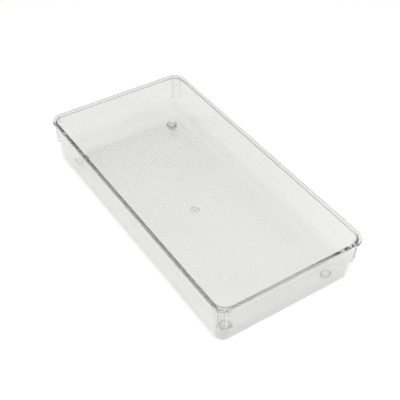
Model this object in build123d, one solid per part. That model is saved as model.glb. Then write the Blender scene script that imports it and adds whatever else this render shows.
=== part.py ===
from build123d import *
import os
from math import cos, radians, sin, sqrt, tan

# A clear moulded drawer organizer tray that stands on four stick-on bumper feet.
# Millimetres. +X runs along the length, +Y across the width and +Z up. The origin is on
# the surface that the feet stand on, under the middle of the tray.

# ---- driving dimensions -------------------------------------------------------------
RIM_LENGTH = 305.0          # outside of the rim, along X
RIM_WIDTH = 155.5           # outside of the rim, along Y
OVERALL_HEIGHT = 53.4       # feet to rim
RIM_CORNER_RADIUS = 12.3    # plan radius of the rim's outside corner

FOOT_DIAMETER = 11.4
FOOT_HEIGHT = 5.05
FOOT_SKIRT = 0.45           # straight edge of the dome where it meets the adhesive
FOOT_FLAT_DIAMETER = 2.8    # the dome is flattened where it stands
ADHESIVE_DIAMETER = 10.8
ADHESIVE_THICKNESS = 0.15
FOOT_X = 129.4              # feet, from the middle of the tray
FOOT_Y = 54.6

OUTER_DRAFT = 4.6           # degrees, the outside of the walls leans outwards
INNER_DRAFT = 5.7           # degrees, the inside opens upwards, so the wall thins to the top
WALL_THICKNESS = 3.1        # measured level, at the underside
FLOOR_THICKNESS = 2.5
BASE_INSET = 5.6            # rim edge to the foot of the wall, before its edge is rounded
BASE_CORNER_RADIUS = 9.0    # plan radius of the outer corner at the underside
BASE_FILLET = 6.5           # round between the outside of the wall and the underside
CAVITY_CORNER_RADIUS = 6.6
CAVITY_FILLET = 1.5         # round between the inside of the wall and the floor

RIM_LIP_HEIGHT = 3.0        # depth of the lip that stands out round the top
RIM_EDGE_RADIUS = 0.9
RIM_INNER_RADIUS = 0.6

LUG_THICKNESS = 1.8         # stacking lugs: two upright fins outside each corner
LUG_SPACING = 8.0           # between the middles of the two fins of a pair
LUG_SETBACK = 3.0           # fin edge inside the rim's corner, along the diagonal
LUG_TOP_DROP = 2.0          # rim top down to the upper end of a fin, inside the lip
LUG_DROP = 25.7             # rim top down to the flat lower end of a fin
LUG_REACH = 6.0             # how far a fin runs in from its outer edge
LUG_EDGE_RADIUS = 0.6       # round on the upright outer edges of a fin

RIB_PITCH = 3.175           # fine ribs across the floor, eight to the inch
RIB_HEIGHT = 0.32
RIB_BASE = 1.9
RIB_CREST = 0.7
RIB_STEPS = 42              # ribs on each side of the middle one
RIB_RUN_OUT = 0.9           # how far a rib runs up the round at the foot of the wall

GATE_RECESS_DIAMETER = 9.0  # moulding gate, under the middle of the floor
GATE_RECESS_DEPTH = 0.3
GATE_STUB_DIAMETER = 2.6
GATE_STUB_HEIGHT = 0.25

# ---- worked out from the driving dimensions -----------------------------------------
UNDERSIDE_Z = FOOT_HEIGHT + ADHESIVE_THICKNESS
FLOOR_Z = UNDERSIDE_Z + FLOOR_THICKNESS
BODY_HEIGHT = OVERALL_HEIGHT - UNDERSIDE_Z
BASE_LENGTH = RIM_LENGTH - 2 * BASE_INSET
BASE_WIDTH = RIM_WIDTH - 2 * BASE_INSET
CAVITY_INSET = WALL_THICKNESS - FLOOR_THICKNESS * tan(radians(INNER_DRAFT))
CAVITY_LENGTH = BASE_LENGTH - 2 * CAVITY_INSET
CAVITY_WIDTH = BASE_WIDTH - 2 * CAVITY_INSET
CUT_MARGIN = 5.0            # how far a cutting tool passes the face that it opens


def drafted_block(length, width, corner, bottom_z, height, draft, edge_radius):
    """A rounded block that widens upwards, with its lower edge rounded."""
    outline = Plane.XY.offset(bottom_z) * RectangleRounded(length, width, corner)
    block = extrude(outline, amount=height, taper=-draft)
    lower_edges = block.faces().sort_by(Axis.Z)[0].edges()
    return fillet(lower_edges, edge_radius)


def rim_lip():
    """The lip round the top, with both of its outer edges eased."""
    outline = Plane.XY.offset(OVERALL_HEIGHT - RIM_LIP_HEIGHT) * RectangleRounded(
        RIM_LENGTH, RIM_WIDTH, RIM_CORNER_RADIUS
    )
    slab = extrude(outline, amount=RIM_LIP_HEIGHT)
    top_edges = slab.faces().sort_by(Axis.Z)[-1].edges()
    bottom_edges = slab.faces().sort_by(Axis.Z)[0].edges()
    return fillet(top_edges + bottom_edges, RIM_EDGE_RADIUS)


def lug_pair():
    """Two upright fins beside the +X +Y corner's diagonal, cut flat at their lower end."""
    arc_centre_x = RIM_LENGTH / 2 - RIM_CORNER_RADIUS
    arc_centre_y = RIM_WIDTH / 2 - RIM_CORNER_RADIUS
    outer_edge = RIM_CORNER_RADIUS - LUG_SETBACK
    height = LUG_DROP - LUG_TOP_DROP
    fins = []
    for side in (-1, 1):
        fin = Box(LUG_REACH, LUG_THICKNESS, height, align=(Align.MAX, Align.CENTER, Align.MIN))
        fin = fillet(fin.edges().filter_by(Axis.Z).sort_by(Axis.X)[-2:], LUG_EDGE_RADIUS)
        fin = Pos(outer_edge, side * LUG_SPACING / 2, 0) * fin
        fin = Pos(arc_centre_x, arc_centre_y, OVERALL_HEIGHT - LUG_DROP) * Rot(0, 0, 45) * fin
        fins.append(fin)
    return fins


def corner_lugs():
    """The pair of fins at each of the four corners."""
    first = lug_pair()
    beside = [mirror(fin, about=Plane.YZ) for fin in first]
    front = [mirror(fin, about=Plane.XZ) for fin in first + beside]
    return first + beside + front


def floor_ribs():
    """Low ribs that run across the floor and die out in the round at its edge."""
    flat_half_width = CAVITY_WIDTH / 2 - CAVITY_FILLET
    half_run = flat_half_width + RIB_RUN_OUT
    foot_z = FLOOR_Z - FLOOR_THICKNESS / 2
    shoulder_z = FLOOR_Z
    crest_z = FLOOR_Z + RIB_HEIGHT
    outline = Polyline(
        (-RIB_BASE / 2, foot_z),
        (RIB_BASE / 2, foot_z),
        (RIB_BASE / 2, shoulder_z),
        (RIB_CREST / 2, crest_z),
        (-RIB_CREST / 2, crest_z),
        (-RIB_BASE / 2, shoulder_z),
        close=True,
    )
    section = Plane.XZ * make_face(outline)
    bar = extrude(section, amount=half_run, both=True)
    return [Pos(step * RIB_PITCH, 0, 0) * bar for step in range(-RIB_STEPS, RIB_STEPS + 1)]


def gate_mark(tray):
    """A shallow round recess under the middle, with the stub of the moulding gate in it."""
    recess = Cylinder(GATE_RECESS_DIAMETER / 2, 2 * GATE_RECESS_DEPTH)
    stub = Cylinder(GATE_STUB_DIAMETER / 2, GATE_STUB_HEIGHT, align=(Align.CENTER, Align.CENTER, Align.MAX))
    cut = tray - Pos(0, 0, UNDERSIDE_Z) * recess
    return cut + Pos(0, 0, UNDERSIDE_Z + GATE_RECESS_DEPTH) * stub


def make_tray():
    outside = drafted_block(
        BASE_LENGTH,
        BASE_WIDTH,
        BASE_CORNER_RADIUS,
        UNDERSIDE_Z,
        BODY_HEIGHT,
        OUTER_DRAFT,
        BASE_FILLET,
    )
    cavity = drafted_block(
        CAVITY_LENGTH,
        CAVITY_WIDTH,
        CAVITY_CORNER_RADIUS,
        FLOOR_Z,
        OVERALL_HEIGHT - FLOOR_Z + CUT_MARGIN,
        INNER_DRAFT,
        CAVITY_FILLET,
    )
    solid = outside + rim_lip() + corner_lugs()
    shell = solid - cavity
    top_face = shell.faces().filter_by(Axis.Z).sort_by(Axis.Z)[-1]
    shell = fillet(top_face.inner_wires()[0].edges(), RIM_INNER_RADIUS)
    return gate_mark(shell + floor_ribs())


def make_foot():
    """A low dome, flat on top for the adhesive and flattened where it stands."""
    edge = FOOT_DIAMETER / 2
    flat = FOOT_FLAT_DIAMETER / 2
    rise = FOOT_HEIGHT - FOOT_SKIRT
    # the dome's circle is centred on the axis and passes through the skirt and the flat
    centre_z = (edge**2 - flat**2 + rise**2) / (2 * rise)
    dome_radius = sqrt(flat**2 + centre_z**2)
    middle_angle = radians(-43.0)
    middle = (dome_radius * cos(middle_angle), centre_z + dome_radius * sin(middle_angle))
    outline = [
        Line((0, 0), (flat, 0)),
        ThreePointArc((flat, 0), middle, (edge, rise)),
        Line((edge, rise), (edge, FOOT_HEIGHT)),
        Line((edge, FOOT_HEIGHT), (0, FOOT_HEIGHT)),
        Line((0, FOOT_HEIGHT), (0, 0)),
    ]
    return revolve(Plane.XZ * make_face(outline), axis=Axis.Z)


def make_adhesive():
    disc = Cylinder(
        ADHESIVE_DIAMETER / 2, ADHESIVE_THICKNESS, align=(Align.CENTER, Align.CENTER, Align.MIN)
    )
    return Pos(0, 0, FOOT_HEIGHT) * disc


CORNERS = {
    "front_left": (-FOOT_X, -FOOT_Y),
    "front_right": (FOOT_X, -FOOT_Y),
    "rear_right": (FOOT_X, FOOT_Y),
    "rear_left": (-FOOT_X, FOOT_Y),
}

nodes = {"tray": make_tray()}
foot = make_foot()
adhesive = make_adhesive()
for corner, (x, y) in CORNERS.items():
    nodes["foot_" + corner] = Pos(x, y, 0) * foot
    nodes["adhesive_" + corner] = Pos(x, y, 0) * adhesive

os.makedirs("parts", exist_ok=True)
for name, shape in nodes.items():
    export_step(shape, os.path.join("parts", name + ".step"))
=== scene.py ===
import math

import bmesh
import bpy
from mathutils import Matrix, Vector


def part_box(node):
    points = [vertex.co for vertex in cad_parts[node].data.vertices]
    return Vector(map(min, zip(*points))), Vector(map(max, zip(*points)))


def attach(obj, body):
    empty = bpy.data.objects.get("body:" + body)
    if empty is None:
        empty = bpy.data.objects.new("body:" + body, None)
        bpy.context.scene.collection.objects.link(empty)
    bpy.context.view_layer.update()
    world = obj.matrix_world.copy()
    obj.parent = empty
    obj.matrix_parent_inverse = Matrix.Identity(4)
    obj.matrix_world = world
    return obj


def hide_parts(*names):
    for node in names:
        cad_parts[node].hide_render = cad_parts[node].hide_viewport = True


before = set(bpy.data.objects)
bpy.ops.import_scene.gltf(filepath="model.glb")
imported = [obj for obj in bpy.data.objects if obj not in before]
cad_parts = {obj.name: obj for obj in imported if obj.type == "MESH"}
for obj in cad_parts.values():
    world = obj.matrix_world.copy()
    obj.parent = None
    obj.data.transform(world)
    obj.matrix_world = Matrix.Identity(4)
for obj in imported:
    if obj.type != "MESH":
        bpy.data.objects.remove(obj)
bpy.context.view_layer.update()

MM = 0.001
tray_low, tray_high = (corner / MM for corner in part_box("tray"))

# ---- dimensions in millimetres, as the CAD part has them --------------------------------
RIM_LENGTH = tray_high.x - tray_low.x
RIM_WIDTH = tray_high.y - tray_low.y
RIM_Z = tray_high.z
UNDERSIDE_Z = tray_low.z
RIM_CORNER_RADIUS = 12.3
OUTER_DRAFT = 4.6           # degrees, the outside of the wall leans outwards
INNER_DRAFT = 5.7
WALL_THICKNESS = 3.1
FLOOR_Z = UNDERSIDE_Z + 2.5
BASE_INSET = 5.6
BASE_CORNER_RADIUS = 9.0
BASE_FILLET = 6.5
CAVITY_CORNER_RADIUS = 6.6
CAVITY_FILLET = 1.5
RIM_LIP_HEIGHT = 3.0
RIM_EDGE_RADIUS = 0.9
RIM_INNER_RADIUS = 0.6
LUG_THICKNESS = 1.8
LUG_SPACING = 8.0
LUG_SETBACK = 3.0
LUG_TOP_DROP = 2.0
LUG_DROP = 25.7
LUG_EDGE_RADIUS = 0.6
RIB_PITCH = 3.175
RIB_HEIGHT = 0.32
RIB_BASE = 1.9
RIB_STEPS = 42
GATE_RECESS_RADIUS = 4.5
GATE_RECESS_DEPTH = 0.3
GATE_STUB_RADIUS = 1.3
GATE_STUB_HEIGHT = 0.25
FOOT_FLAT_RADIUS = 1.4
FOOT_SKIRT = 0.45

# ---- what the CAD part leaves out ------------------------------------------------------
LIP_ROOT_RADIUS = 0.25      # round under the lip
LUG_ROOT = 1.9              # how deep a fin is rooted in the wall
GATE_SOFTNESS = 0.2         # width of the eased edges of the gate mark
FOOT_BRIM_RADIUS = 0.15     # eased edge round the top of a foot
CUT_MARGIN = 1.0            # how far a cutter passes the face that it opens
OPTICAL_GAP = 0.01          # keeps faces that touch from lying in one plane

# ---- how finely curves are cut ---------------------------------------------------------
CORNER_STEPS = 16
FILLET_STEPS = 10
EDGE_STEPS = 5
LIP_ROOT_STEPS = 3
DOME_STEPS = 18
BRIM_STEPS = 3
RIB_CUTS = (-1.0, -0.66, -0.33, 0.0, 0.33, 0.66, 1.0)
LATHE_STEPS = 64


# ---- mesh helpers ----------------------------------------------------------------------
def finish_mesh(name, mesh, sharp_degrees=38.0):
    """Makes an object of the mesh, shaded smooth except at edges sharper than the angle."""
    mesh.polygons.foreach_set("use_smooth", [True] * len(mesh.polygons))
    mesh.set_sharp_from_angle(angle=math.radians(sharp_degrees))
    mesh.update()
    thing = bpy.data.objects.new(name, mesh)
    bpy.context.scene.collection.objects.link(thing)
    return thing


def mesh_of(name, points, faces):
    """A mesh in metres from points in millimetres."""
    mesh = bpy.data.meshes.new(name)
    mesh.from_pydata([[value * MM for value in point] for point in points], [], faces)
    mesh.validate()
    return mesh


def arc(centre, radius, start, end, steps):
    """Points of an arc in a profile, given by degrees measured from the first axis."""
    turns = (math.radians(start + (end - start) * i / steps) for i in range(steps + 1))
    return [(centre[0] + radius * math.cos(t), centre[1] + radius * math.sin(t)) for t in turns]


def lathe(name, profile):
    """A closed solid of revolution about Z. The profile runs from the axis to the axis."""
    points = [(0.0, 0.0, profile[0][1])]
    rings = profile[1:-1]
    for radius, z in rings:
        for step in range(LATHE_STEPS):
            turn = 2 * math.pi * step / LATHE_STEPS
            points.append((radius * math.cos(turn), radius * math.sin(turn), z))
    points.append((0.0, 0.0, profile[-1][1]))
    last = len(points) - 1
    faces = []
    for step in range(LATHE_STEPS):
        after = (step + 1) % LATHE_STEPS
        faces.append((0, 1 + after, 1 + step))
        for ring in range(len(rings) - 1):
            here = 1 + ring * LATHE_STEPS
            above = here + LATHE_STEPS
            faces.append((here + step, here + after, above + after, above + step))
        top = 1 + (len(rings) - 1) * LATHE_STEPS
        faces.append((top + step, top + after, last))
    return mesh_of(name, points, faces)


# ---- the tray's cross-section ------------------------------------------------------------
def rib_height(x):
    """Height of the floor's ribs at x: one low rounded ridge every pitch."""
    step = round(x / RIB_PITCH)
    if abs(step) > RIB_STEPS:
        return 0.0
    share = abs(x - step * RIB_PITCH) / (RIB_BASE / 2)
    return RIB_HEIGHT * math.cos(share * math.pi / 2) ** 2 if share < 1 else 0.0


def side_stations():
    """Places along a long side where every ring has a point, so that ribs can cross."""
    return [
        step * RIB_PITCH + cut * RIB_BASE / 2
        for step in range(-RIB_STEPS, RIB_STEPS + 1)
        for cut in RIB_CUTS
    ]


STATIONS = side_stations()


def outer_inset(z):
    return BASE_INSET - (z - UNDERSIDE_Z) * math.tan(math.radians(OUTER_DRAFT))


def cavity_inset(z):
    return BASE_INSET + WALL_THICKNESS - (z - UNDERSIDE_Z) * math.tan(math.radians(INNER_DRAFT))


def outer_corner(inset):
    return BASE_CORNER_RADIUS + BASE_INSET - inset


def cavity_corner(inset):
    return CAVITY_CORNER_RADIUS + cavity_inset(FLOOR_Z) - inset


def rim_corner(inset):
    return RIM_CORNER_RADIUS - inset


def wall_round(inset_at, draft, floor_z, radius):
    """The round between a drafted wall and the level face below it, as (inset, z) points."""
    centre = (inset_at(floor_z + radius) + radius / math.cos(math.radians(draft)), floor_z + radius)
    return arc(centre, radius, 180 + draft, 270, FILLET_STEPS)


def tray_profile():
    """Rings of the tray from the middle of its underside, up the outside and down the inside.

    Each is (inset from the rim's edge, z, plan radius of its corners).
    """
    rings = []
    for inset, z in reversed(wall_round(outer_inset, OUTER_DRAFT, UNDERSIDE_Z, BASE_FILLET)):
        rings.append((inset, z, outer_corner(inset)))
    lip_z = RIM_Z - RIM_LIP_HEIGHT
    root = (outer_inset(lip_z) - LIP_ROOT_RADIUS, lip_z - LIP_ROOT_RADIUS)
    for inset, z in arc(root, LIP_ROOT_RADIUS, 0, 90, LIP_ROOT_STEPS):
        rings.append((inset, z, outer_corner(inset)))
    lower = (RIM_EDGE_RADIUS, lip_z + RIM_EDGE_RADIUS)
    for inset, z in arc(lower, RIM_EDGE_RADIUS, 270, 180, EDGE_STEPS):
        rings.append((inset, z, rim_corner(inset)))
    upper = (RIM_EDGE_RADIUS, RIM_Z - RIM_EDGE_RADIUS)
    for inset, z in arc(upper, RIM_EDGE_RADIUS, 180, 90, EDGE_STEPS):
        rings.append((inset, z, rim_corner(inset)))
    inner = (cavity_inset(RIM_Z) - RIM_INNER_RADIUS, RIM_Z - RIM_INNER_RADIUS)
    for inset, z in arc(inner, RIM_INNER_RADIUS, 90, 0, EDGE_STEPS):
        rings.append((inset, z, cavity_corner(inset)))
    for inset, z in wall_round(cavity_inset, INNER_DRAFT, FLOOR_Z, CAVITY_FILLET):
        rings.append((inset, z, cavity_corner(inset)))
    return rings


def ring_points(inset, z, radius, ribbed):
    """One closed ring round the tray, anticlockwise from the -X -Y corner's arc."""
    half_x = RIM_LENGTH / 2 - inset
    half_y = RIM_WIDTH / 2 - inset
    front = [(x, -half_y) for x in STATIONS]
    right_front = arc((half_x - radius, -half_y + radius), radius, -90, 0, CORNER_STEPS)
    right_back = [(x, -y) for x, y in reversed(right_front)]
    back = [(x, half_y) for x in reversed(STATIONS)]
    left_back = [(-x, y) for x, y in reversed(right_back)]
    left_front = [(-x, y) for x, y in reversed(right_front)]
    around = left_front + front + right_front + right_back + back + left_back
    if not ribbed:
        return [(x, y, z) for x, y in around]
    return [(x, y, max(z, FLOOR_Z + rib_height(x))) for x, y in around]


def wall_on_diagonal(z):
    """Where the outside of the wall crosses a corner's diagonal, from the rim arc's centre."""
    corner = outer_corner(outer_inset(z))
    shift = RIM_CORNER_RADIUS - outer_inset(z) - corner
    return corner + shift * math.sqrt(2)


def lug_fin(turn, side):
    """One upright fin outside a corner. Its inner edge leans with the wall, inside its face."""
    half = LUG_THICKNESS / 2
    outer = RIM_CORNER_RADIUS - LUG_SETBACK
    low, high = RIM_Z - LUG_DROP, RIM_Z - LUG_TOP_DROP
    centre = Vector((RIM_LENGTH / 2 - RIM_CORNER_RADIUS, RIM_WIDTH / 2 - RIM_CORNER_RADIUS, 0))
    mesh = bpy.data.meshes.new("fin")
    shape = bmesh.new()
    bmesh.ops.create_cube(shape, size=2.0)
    for vert in shape.verts:
        z = high if vert.co.z > 0 else low
        x = outer if vert.co.x > 0 else wall_on_diagonal(z) - LUG_ROOT
        vert.co = Vector((x, side * LUG_SPACING / 2 + vert.co.y * half, z))
    free_edges = [
        edge for edge in shape.edges
        if all(vert.co.x > outer - half for vert in edge.verts)
        or all(vert.co.z < low + half for vert in edge.verts)
    ]
    bmesh.ops.bevel(
        shape, geom=free_edges, offset=LUG_EDGE_RADIUS, segments=EDGE_STEPS, affect="EDGES", profile=0.5
    )
    sign_x, sign_y = turn
    for vert in shape.verts:
        spun = Matrix.Rotation(math.radians(45), 3, "Z") @ vert.co + centre
        vert.co = Vector((spun.x * sign_x, spun.y * sign_y, spun.z)) * MM
    if sign_x * sign_y < 0:
        bmesh.ops.reverse_faces(shape, faces=shape.faces)
    bmesh.ops.recalc_face_normals(shape, faces=shape.faces)
    shape.to_mesh(mesh)
    shape.free()
    return mesh


def combine(base, tools, operation):
    """The base mesh joined with, or cut by, the tool meshes, as one clean closed mesh."""
    holder = bpy.data.objects.new("base", base)
    bpy.context.scene.collection.objects.link(holder)
    group = bpy.data.collections.new("tools")
    bpy.context.scene.collection.children.link(group)
    helpers = []
    for mesh in tools:
        helper = bpy.data.objects.new("tool", mesh)
        group.objects.link(helper)
        helpers.append(helper)
    cutter = holder.modifiers.new("join", "BOOLEAN")
    cutter.operation = operation
    cutter.operand_type = "COLLECTION"
    cutter.collection = group
    cutter.solver = "EXACT"
    depsgraph = bpy.context.evaluated_depsgraph_get()
    result = bpy.data.meshes.new_from_object(holder.evaluated_get(depsgraph))
    for helper in helpers + [holder]:
        bpy.data.objects.remove(helper)
    bpy.data.collections.remove(group)
    return result


def make_tray():
    profile = tray_profile()
    last_fillet_ring = len(profile) - FILLET_STEPS - 1
    points, faces = [], []
    rings = []
    for index, (inset, z, radius) in enumerate(profile):
        ring = ring_points(inset, z, radius, ribbed=index > last_fillet_ring)
        rings.append(range(len(points), len(points) + len(ring)))
        points.extend(ring)
    count = len(rings[0])
    for below, above in zip(rings, rings[1:]):
        for step in range(count):
            after = (step + 1) % count
            faces.append((below[step], below[after], above[after], above[step]))
    half = count // 2
    for step in range(half - 1):
        mirror, mirror_after = count - 1 - step, count - 2 - step
        floor, under = rings[-1], rings[0]
        faces.append((floor[step], floor[step + 1], floor[mirror_after], floor[mirror]))
        faces.append((under[mirror], under[mirror_after], under[step + 1], under[step]))
    body = mesh_of("tray", points, faces)
    fins = [
        lug_fin((sign_x, sign_y), side)
        for sign_x in (1, -1)
        for sign_y in (1, -1)
        for side in (1, -1)
    ]
    body = combine(body, fins, "UNION")
    body = combine(body, [gate_cutter()], "DIFFERENCE")
    body.name = "clear_tray"
    return finish_mesh("clear_tray", body)


def gate_cutter():
    """What the gate mark takes out of the underside: a dished ring round a low stub."""
    top = UNDERSIDE_Z + GATE_RECESS_DEPTH
    tip = UNDERSIDE_Z + GATE_RECESS_DEPTH - GATE_STUB_HEIGHT
    soft = GATE_SOFTNESS
    outline = [
        (0.0, tip),
        (GATE_STUB_RADIUS - soft, tip),
        (GATE_STUB_RADIUS, tip + soft / 2),
        (GATE_STUB_RADIUS + soft, top - soft / 3),
        (GATE_STUB_RADIUS + 2 * soft, top),
        (GATE_RECESS_RADIUS - 3 * soft, top),
        (GATE_RECESS_RADIUS - soft, top - soft / 2),
        (GATE_RECESS_RADIUS, UNDERSIDE_Z),
        (GATE_RECESS_RADIUS, UNDERSIDE_Z - CUT_MARGIN),
        (0.0, UNDERSIDE_Z - CUT_MARGIN),
    ]
    return lathe("gate", outline[::-1])


tray = make_tray()


# ---- feet --------------------------------------------------------------------------------
def foot_profile(diameter, height):
    edge, flat = diameter / 2, FOOT_FLAT_RADIUS
    rise = height - FOOT_SKIRT
    centre_z = (edge**2 - flat**2 + rise**2) / (2 * rise)
    radius = math.hypot(flat, centre_z)
    start = math.degrees(math.atan2(-centre_z, flat))
    end = math.degrees(math.atan2(rise - centre_z, edge))
    dome = arc((0.0, centre_z), radius, start, end, DOME_STEPS)
    brim_centre = (edge - FOOT_BRIM_RADIUS, height - FOOT_BRIM_RADIUS)
    brim = arc(brim_centre, FOOT_BRIM_RADIUS, 0, 90, BRIM_STEPS)
    return [(0.0, 0.0)] + dome + brim + [(0.0, height)]


CORNER_NAMES = ("front_left", "front_right", "rear_right", "rear_left")
feet, pads = [], []
for corner in CORNER_NAMES:
    foot_low, foot_high = (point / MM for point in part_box("foot_" + corner))
    pad_low, pad_high = (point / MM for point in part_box("adhesive_" + corner))
    middle = (foot_low + foot_high) / 2
    height = foot_high.z - foot_low.z
    place = Matrix.Translation(Vector((middle.x, middle.y, 0)) * MM)
    mesh = lathe("bumper_" + corner, foot_profile(foot_high.x - foot_low.x, height))
    mesh.transform(place)
    foot = finish_mesh("bumper_" + corner, mesh)
    feet.append(foot)
    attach(foot, "root")
    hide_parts("foot_" + corner)
    pad_radius = (pad_high.x - pad_low.x) / 2
    bottom, top = pad_low.z + OPTICAL_GAP, pad_high.z - OPTICAL_GAP
    outline = [(0.0, bottom), (pad_radius, bottom), (pad_radius, top), (0.0, top)]
    mesh = lathe("pad_" + corner, outline)
    mesh.transform(place)
    pad = finish_mesh("pad_" + corner, mesh)
    pads.append(pad)
    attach(pad, "root")
    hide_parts("adhesive_" + corner)

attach(tray, "root")
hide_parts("tray")


# ---- materials ---------------------------------------------------------------------------
def noise(nodes, links, place, scale, detail):
    texture = nodes.new("ShaderNodeTexNoise")
    texture.inputs["Scale"].default_value = scale
    texture.inputs["Detail"].default_value = detail
    links.new(place.outputs["Object"], texture.inputs["Vector"])
    return texture.outputs["Fac"]


def remap(nodes, links, value, start, end, low, high):
    """The value between start and end, clamped and stretched to run from low to high."""
    spread = nodes.new("ShaderNodeMapRange")
    spread.inputs["From Min"].default_value = start
    spread.inputs["From Max"].default_value = end
    spread.inputs["To Min"].default_value = low
    spread.inputs["To Max"].default_value = high
    links.new(value, spread.inputs["Value"])
    return spread.outputs["Result"]


def blend_colour(nodes, links, share, first, second):
    """A colour between two, each a plain colour or another node's output."""
    mix = nodes.new("ShaderNodeMix")
    mix.data_type = "RGBA"
    links.new(share, mix.inputs["Factor"])
    for socket, colour in ((mix.inputs[6], first), (mix.inputs[7], second)):
        if isinstance(colour, bpy.types.NodeSocket):
            links.new(colour, socket)
        else:
            socket.default_value = (*colour, 1)
    return mix.outputs[2]


def clear_plastic(name, tint, cloud, ior, wear, ripple, density, passing, gate=None):
    """A clear moulded plastic: smooth, faintly scuffed and clouded, tinted in its depth.

    Light on its way to or from the table goes straight through. The three passing values
    are what it keeps head on, at a slant and at a graze. A gate is a place where the melt
    came in, with a clouded spot round it.
    """
    material = bpy.data.materials.new(name)
    material.use_nodes = True
    nodes, links = material.node_tree.nodes, material.node_tree.links
    shader, output = nodes["Principled BSDF"], nodes["Material Output"]
    shader.inputs["IOR"].default_value = ior
    shader.inputs["Transmission Weight"].default_value = 1.0
    place = nodes.new("ShaderNodeTexCoord")
    swirl = noise(nodes, links, place, 14.0, 4.0)
    colour = blend_colour(nodes, links, remap(nodes, links, swirl, 0.35, 0.7, 0, 1), tint, cloud)
    if gate:
        reach = nodes.new("ShaderNodeVectorMath")
        reach.operation = "DISTANCE"
        reach.inputs[1].default_value = gate
        links.new(place.outputs["Object"], reach.inputs[0])
        near, far = GATE_CLOUD_REACH
        spot = remap(nodes, links, reach.outputs["Value"], near, far, 1, 0)
        colour = blend_colour(nodes, links, spot, colour, GATE_CLOUD)
    links.new(colour, shader.inputs["Base Color"])
    haze = noise(nodes, links, place, 60.0, 5.0)
    links.new(remap(nodes, links, haze, 0.35, 0.75, 0.02, 0.02 + wear), shader.inputs["Roughness"])
    relief = nodes.new("ShaderNodeBump")
    relief.inputs["Strength"].default_value = ripple
    relief.inputs["Distance"].default_value = 0.0004
    links.new(noise(nodes, links, place, 30.0, 1.0), relief.inputs["Height"])
    links.new(relief.outputs["Normal"], shader.inputs["Normal"])

    slant = nodes.new("ShaderNodeLayerWeight")
    slant.inputs["Blend"].default_value = 0.5
    let_through = nodes.new("ShaderNodeValToRGB")
    stops = let_through.color_ramp.elements
    stops[0].position, stops[0].color = 0.0, (passing[0], passing[0], passing[0] - 0.005, 1)
    stops[1].position, stops[1].color = 1.0, (passing[2],) * 3 + (1,)
    stops.new(0.65).color = (passing[1], passing[1], passing[1] - 0.005, 1)
    straight = nodes.new("ShaderNodeBsdfTransparent")
    path = nodes.new("ShaderNodeLightPath")
    lamps, bounced = nodes.new("ShaderNodeMixShader"), nodes.new("ShaderNodeMixShader")
    links.new(slant.outputs["Facing"], let_through.inputs["Fac"])
    links.new(let_through.outputs["Color"], straight.inputs["Color"])
    links.new(path.outputs["Is Diffuse Ray"], bounced.inputs["Fac"])
    links.new(shader.outputs["BSDF"], bounced.inputs[1])
    links.new(straight.outputs["BSDF"], bounced.inputs[2])
    links.new(path.outputs["Is Shadow Ray"], lamps.inputs["Fac"])
    links.new(bounced.outputs["Shader"], lamps.inputs[1])
    links.new(straight.outputs["BSDF"], lamps.inputs[2])
    links.new(lamps.outputs["Shader"], output.inputs["Surface"])
    if density > 0:
        volume = nodes.new("ShaderNodeVolumeAbsorption")
        volume.inputs["Color"].default_value = (0.84, 0.84, 0.82, 1)
        volume.inputs["Density"].default_value = density
        links.new(volume.outputs["Volume"], output.inputs["Volume"])
    return material


GATE_CLOUD = (0.70, 0.70, 0.69)
GATE_CLOUD_REACH = (0.0015, 0.0075)  # metres from the gate, full cloud to none
polystyrene = clear_plastic(
    "moulded_styrene", (0.805, 0.809, 0.796), (0.785, 0.789, 0.774), 1.58, 0.04, 0.03, 12.0,
    (0.965, 0.945, 0.8), gate=(0, 0, UNDERSIDE_Z * MM),
)
polyurethane = clear_plastic(
    "bumper_urethane", (0.98, 0.98, 0.97), (0.95, 0.95, 0.94), 1.49, 0.05, 0.02, 12.0,
    (1.0, 0.97, 0.5),
)
adhesive = clear_plastic(
    "pad_adhesive", (0.98, 0.98, 0.97), (0.94, 0.94, 0.92), 1.2, 0.04, 0.05, 0.0,
    (1.0, 0.98, 0.6),
)
tray.data.materials.append(polystyrene)
for foot in feet:
    foot.data.materials.append(polyurethane)
for pad in pads:
    pad.data.materials.append(adhesive)


# ---- floor, light and camera ---------------------------------------------------------------
FLOOR_HALF_SIZE = 20.0      # metres; views from 15 degrees up don't show where it ends
FLOOR_COLOUR = (0.93, 0.93, 0.92)
FLOOR_GLOW = 0.05           # lifts the floor a little towards white
SKY_GREYS = ((0.0, 0.22), (0.32, 0.50), (1.0, 0.60))  # level by height, from the horizon up
KEY_PLACE = (0.83, -0.44, 2.32)
KEY_SIZE = (0.3, 0.3)
KEY_WATTS = 42.0
LIGHT_BOUNCES = 32          # light crosses many clear faces before it leaves the tray


def make_floor():
    mesh = bpy.data.meshes.new("floor")
    corners = [(-1, -1), (1, -1), (1, 1), (-1, 1)]
    points = [(x * FLOOR_HALF_SIZE, y * FLOOR_HALF_SIZE, 0) for x, y in corners]
    mesh.from_pydata(points, [], [(0, 1, 2, 3)])
    floor = bpy.data.objects.new("floor", mesh)
    bpy.context.scene.collection.objects.link(floor)
    material = bpy.data.materials.new("pale_floor")
    material.use_nodes = True
    shader = material.node_tree.nodes["Principled BSDF"]
    shader.inputs["Base Color"].default_value = (*FLOOR_COLOUR, 1)
    shader.inputs["Roughness"].default_value = 0.8
    shader.inputs["Emission Color"].default_value = (1, 1, 1, 1)
    shader.inputs["Emission Strength"].default_value = FLOOR_GLOW
    mesh.materials.append(material)


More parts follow.
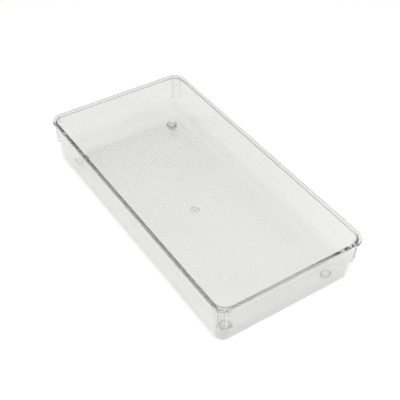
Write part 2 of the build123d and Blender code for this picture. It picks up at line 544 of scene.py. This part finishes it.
def make_world():
    world = bpy.data.worlds.new("studio")
    bpy.context.scene.world = world
    world.use_nodes = True
    nodes, links = world.node_tree.nodes, world.node_tree.links
    sky = nodes["Background"]
    place = nodes.new("ShaderNodeTexCoord")
    split = nodes.new("ShaderNodeSeparateXYZ")
    ramp = nodes.new("ShaderNodeValToRGB")
    links.new(place.outputs["Generated"], split.inputs["Vector"])
    links.new(split.outputs["Z"], ramp.inputs["Fac"])
    links.new(ramp.outputs["Color"], sky.inputs["Color"])
    stops = ramp.color_ramp.elements
    (low, low_grey), (middle, middle_grey), (high, high_grey) = SKY_GREYS
    stops[0].position, stops[0].color = low, (low_grey,) * 3 + (1,)
    stops[1].position, stops[1].color = high, (high_grey,) * 3 + (1,)
    stops.new(middle).color = (middle_grey,) * 3 + (1,)
    sky.inputs["Strength"].default_value = 1.0


def soft_box(name, place, size, watts):
    """A flat lamp that faces the origin."""
    lamp = bpy.data.lights.new(name, "AREA")
    lamp.shape = "RECTANGLE"
    lamp.size, lamp.size_y = size
    lamp.energy = watts
    holder = bpy.data.objects.new(name, lamp)
    holder.location = place
    holder.rotation_mode = "QUATERNION"
    holder.rotation_quaternion = (-Vector(place)).to_track_quat("-Z", "Y")
    bpy.context.scene.collection.objects.link(holder)


CAMERA_AZIMUTH = 55.35
CAMERA_ELEVATION = 42.47
CAMERA_ROLL = 1.5
CAMERA_DISTANCE = 0.7792
CAMERA_RIGHT = 0.0050       # how far the view is centred to the right of the tray's middle
CAMERA_UP = 0.0110
CAMERA_LENS = 71.7


def make_camera():
    turn, tilt = math.radians(CAMERA_AZIMUTH), math.radians(CAMERA_ELEVATION)
    back = Vector((
        math.sin(turn) * math.cos(tilt),
        -math.cos(turn) * math.cos(tilt),
        math.sin(tilt),
    ))
    level = Vector((math.cos(turn), math.sin(turn), 0))
    lift = back.cross(level)
    roll = math.radians(CAMERA_ROLL)
    right = level * math.cos(roll) + lift * math.sin(roll)
    up = lift * math.cos(roll) - level * math.sin(roll)
    lens = bpy.data.cameras.new("camera")
    lens.lens = CAMERA_LENS
    lens.clip_start, lens.clip_end = 0.01, 20.0
    camera = bpy.data.objects.new("camera", lens)
    place = back * CAMERA_DISTANCE + right * CAMERA_RIGHT + up * CAMERA_UP
    place.z += UNDERSIDE_Z * MM
    axes = Matrix((right, up, back)).transposed()
    camera.matrix_world = Matrix.Translation(place) @ axes.to_4x4()
    bpy.context.scene.collection.objects.link(camera)
    bpy.context.scene.camera = camera


make_floor()
make_world()
soft_box("key", KEY_PLACE, KEY_SIZE, KEY_WATTS)
make_camera()

scene = bpy.context.scene
scene.view_settings.view_transform = "Standard"
scene.cycles.max_bounces = LIGHT_BOUNCES
scene.cycles.glossy_bounces = LIGHT_BOUNCES
scene.cycles.transmission_bounces = LIGHT_BOUNCES
scene.cycles.transparent_max_bounces = LIGHT_BOUNCES
